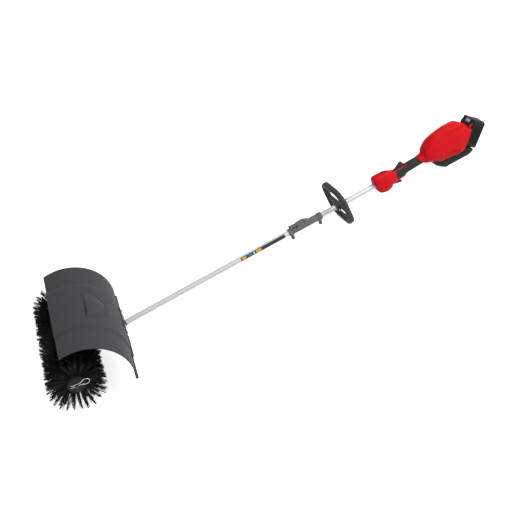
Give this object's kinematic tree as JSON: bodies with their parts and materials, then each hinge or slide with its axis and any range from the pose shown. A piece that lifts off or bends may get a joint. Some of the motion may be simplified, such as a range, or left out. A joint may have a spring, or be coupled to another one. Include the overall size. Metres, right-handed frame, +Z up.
{
  "type": "power brush sweeper",
  "caption": "Cordless power head with a sliding loop handle, a quick-release coupler and a long tube to an angled roller brush under a curved hood.",
  "frame": {"origin": "middle of the flat underside of the skid rail, on the floor", "axes": "+X along the shaft towards the battery, +Y to the right of the user, +Z up"},
  "size_m": [2.3013, 0.6154, 0.309],
  "materials": {
    "hood_plastic": "fine grained charcoal",
    "black_steel": "black painted",
    "zinc_fastener": "zinc plated",
    "cast_aluminium": "as cast",
    "bright_steel": "ground",
    "black_rubber": "matte",
    "bronze": "machined",
    "black_plastic": "satin black",
    "bristle": "black filament",
    "spring_wire": "bright",
    "tube_aluminium": "anodised satin",
    "pale_plastic": "natural",
    "grey_casting": "grey powder coat",
    "handle_plastic": "dark grey",
    "red_plastic": "satin red",
    "grip_rubber": "soft touch",
    "copper_core": "laminated",
    "board_green": "board",
    "battery_plastic": "dark grey",
    "cell_wrap": "wrapped cells"
  },
  "bodies": {
    "sweeper": {"hood": "hood_plastic", "tube_flange": "black_steel", "hood_bracket": "black_steel", "hood_bolts": "zinc_fastener", "gear_case": "cast_aluminium", "gear_cover": "cast_aluminium", "cover_screws": "zinc_fastener", "worm_cap": "cast_aluminium", "axle_bearings": "bright_steel", "axle_seals": "black_rubber", "worm_bearings": "bright_steel", "lower_tube": "tube_aluminium", "shaft_bushes": "pale_plastic", "coupler_body": "grey_casting", "coupler_bolts": "black_steel", "lever_pin": "bright_steel", "upper_tube": "tube_aluminium", "housing_left": "red_plastic", "housing_right": "red_plastic", "housing_screws": "zinc_fastener", "grip_sleeve": "grip_rubber", "motor_mount": "black_plastic", "motor_stator": "copper_core", "motor_cover": "black_plastic", "motor_bearings": "bright_steel", "control_board": "board_green", "battery_dock": "black_plastic", "skid_rail": "handle_plastic", "pivot_pins": "bright_steel", "trigger_switch": "black_plastic"},
    "roller": {"brush_axle": "bright_steel", "worm_wheel": "bronze", "brush_core_left": "black_plastic", "brush_core_right": "black_plastic", "bristles_left": "bristle", "bristles_right": "bristle", "hub_cap_left": "black_plastic", "hub_cap_right": "black_plastic", "hairpin_left": "spring_wire", "hairpin_right": "spring_wire"},
    "drive_line": {"worm": "bright_steel", "lower_drive_shaft": "bright_steel", "drive_socket": "bright_steel", "upper_drive_shaft": "bright_steel", "motor_rotor": "bright_steel", "cooling_fan": "black_plastic"},
    "coupler_catch": {"coupler_lever": "grey_casting"},
    "plunger": {"lock_plunger": "bright_steel"},
    "front_handle": {"loop_handle": "handle_plastic", "loop_clamp": "handle_plastic", "loop_bolts": "zinc_fastener"},
    "trigger": {"trigger": "black_plastic"},
    "lockoff": {"lockoff_lever": "black_plastic"},
    "speed_slider": {"speed_switch": "black_plastic"},
    "battery": {"battery_case": "battery_plastic", "battery_cap": "battery_plastic", "battery_cells": "cell_wrap"},
    "left_release": {"release_left": "red_plastic"},
    "right_release": {"release_right": "red_plastic"}
  },
  "joints": [
    {"name": "roller_spin", "type": "hinge", "parent": "sweeper", "child": "roller", "pos_m": [-1.945, 0, 0.127], "axis": [0.225, 0.9744, 0], "continuous": true},
    {"name": "drive_spin", "type": "hinge", "parent": "sweeper", "child": "drive_line", "pos_m": [-1, 0, 0.08511], "axis": [1, 0, 0], "continuous": true},
    {"name": "catch_lift", "type": "hinge", "parent": "sweeper", "child": "coupler_catch", "pos_m": [-0.798, 0, 0.10441], "axis": [0, 1, 0], "range_deg": [0, 25], "stiffness_Nm_per_rad": 0.15, "springref_deg": -17.19},
    {"name": "plunger_lift", "type": "slide", "parent": "sweeper", "child": "plunger", "axis": [0, 0, 1], "range_m": [0, 0.0025]},
    {"name": "handle_slide", "type": "slide", "parent": "sweeper", "child": "front_handle", "axis": [1, 0, 0], "range_m": [-0.06, 0.14]},
    {"name": "trigger_pull", "type": "hinge", "parent": "sweeper", "child": "trigger", "pos_m": [-0.338, 0, 0.06311], "axis": [0, -1, 0], "range_deg": [0, 10], "stiffness_Nm_per_rad": 0.6, "springref_deg": -5.73},
    {"name": "lockoff_press", "type": "hinge", "parent": "sweeper", "child": "lockoff", "pos_m": [-0.316, 0, 0.10161], "axis": [0, 1, 0], "range_deg": [0, 8], "stiffness_Nm_per_rad": 0.6, "springref_deg": -5.73},
    {"name": "speed_set", "type": "slide", "parent": "sweeper", "child": "speed_slider", "axis": [1, 0, 0], "range_m": [-0.004, 0.004]},
    {"name": "battery_slide", "type": "slide", "parent": "sweeper", "child": "battery", "axis": [0.6157, 0, 0.788], "range_m": [0, 0.09]},
    {"name": "left_release_press", "type": "slide", "parent": "battery", "child": "left_release", "axis": [0, 1, 0], "range_m": [0, 0.003], "stiffness_N_per_m": 300, "springref_m": -0.002},
    {"name": "right_release_press", "type": "slide", "parent": "battery", "child": "right_release", "axis": [0, -1, 0], "range_m": [0, 0.003], "stiffness_N_per_m": 300, "springref_m": -0.002}
  ],
  "couplings": [
    {"joint": "drive_spin", "follows": "roller_spin", "ratio": -16.5},
    {"joint": "plunger_lift", "follows": "catch_lift", "m_per_rad": 0.00572}
  ]
}
